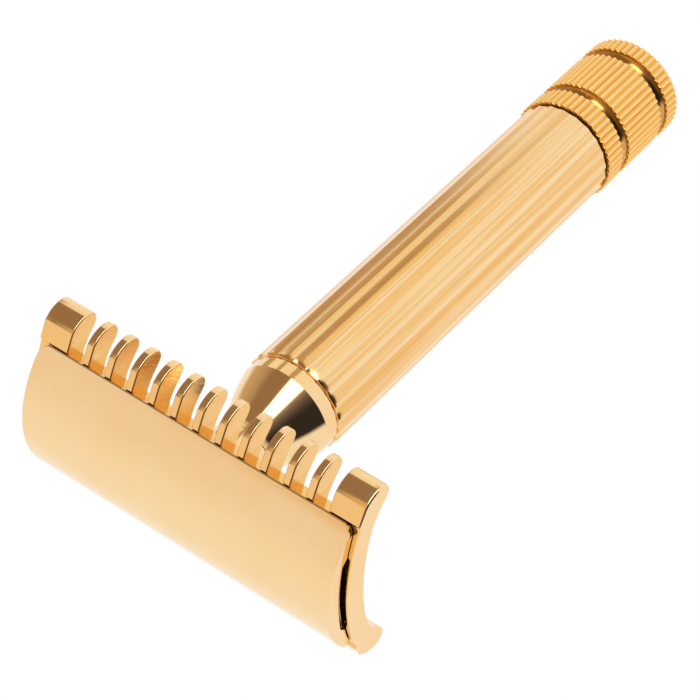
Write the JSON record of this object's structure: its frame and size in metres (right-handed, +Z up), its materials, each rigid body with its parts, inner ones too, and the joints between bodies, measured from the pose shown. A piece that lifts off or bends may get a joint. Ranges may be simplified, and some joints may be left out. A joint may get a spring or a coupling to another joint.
{
  "type": "safety razor",
  "caption": "Open-comb double-edge safety razor with a domed cap over the blade, a fluted round handle and a knurled pommel.",
  "frame": {"origin": "centre of the pommel's flat end, on the handle's axis", "axes": "+Z up the handle to the cap, +X along the head, +Y across it towards one row of teeth"},
  "size_m": [0.0444, 0.0268, 0.0917],
  "materials": {
    "cap_gold": "polished gold plate",
    "stud_gold": "machined, gold plated",
    "blade_steel": "rolled and ground spring steel",
    "comb_gold": "gold plate, polished outside and brushed between the teeth",
    "neck_gold": "turned, polished gold plate",
    "barrel_gold": "fluted, polished gold plate",
    "pommel_gold": "knurled gold plate with polished grooves"
  },
  "bodies": {
    "handle": {"neck": "neck_gold", "barrel": "barrel_gold", "pommel": "pommel_gold"},
    "comb": {"comb_plate": "comb_gold"},
    "cap": {"cap_shell": "cap_gold", "cap_stud": "stud_gold", "alignment_pin_left": "stud_gold", "alignment_pin_right": "stud_gold"},
    "blade": {"blade": "blade_steel"}
  },
  "joints": [
    {"name": "head_turn", "type": "hinge", "parent": "handle", "child": "comb", "pos_m": [0, 0, 0.08535], "axis": [0, 0, 1], "range_deg": [0, 3330]},
    {"name": "cap_lift", "type": "slide", "parent": "comb", "child": "cap", "axis": [0, 0, 1], "range_m": [0, 0.0074]},
    {"name": "blade_lift", "type": "slide", "parent": "comb", "child": "blade", "axis": [0, 0, 1], "range_m": [0, 0.0037]}
  ],
  "couplings": [
    {"joint": "cap_lift", "follows": "head_turn", "m_per_rad": 0.00012732},
    {"joint": "blade_lift", "follows": "head_turn", "m_per_rad": 0.00006366}
  ]
}
